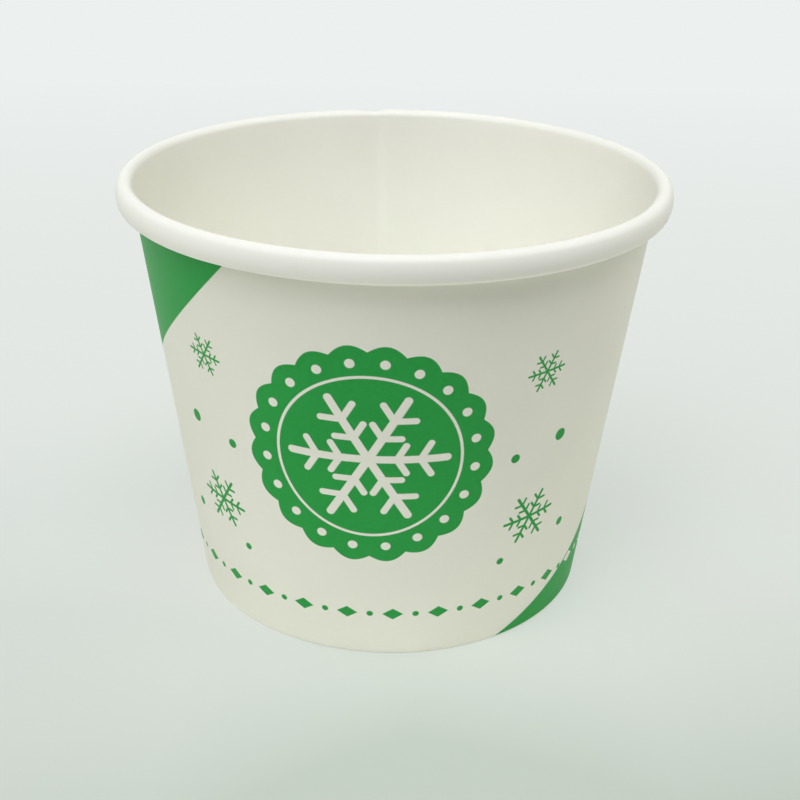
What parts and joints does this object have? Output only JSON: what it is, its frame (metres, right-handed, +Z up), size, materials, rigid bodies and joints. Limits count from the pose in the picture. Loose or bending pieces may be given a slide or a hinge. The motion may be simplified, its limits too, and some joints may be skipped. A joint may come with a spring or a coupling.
{
  "type": "paper ice cream cup",
  "caption": "Short, wide single-wall paper cup with a rolled rim, a lapped side seam and a recessed paper bottom, for servings of ice cream.",
  "frame": {"origin": "centre of the standing ring, on the floor", "axes": "+Z up along the cup's axis, -Y towards the front as pictured, the side seam near +Y"},
  "size_m": [0.0854, 0.0854, 0.068],
  "materials": {
    "printed_board": "satin coated paperboard, printed outside",
    "plain_board": "satin coated paperboard"
  },
  "bodies": {
    "root": {"sidewall": "printed_board", "bottom_disc": "plain_board"}
  },
  "joints": []
}
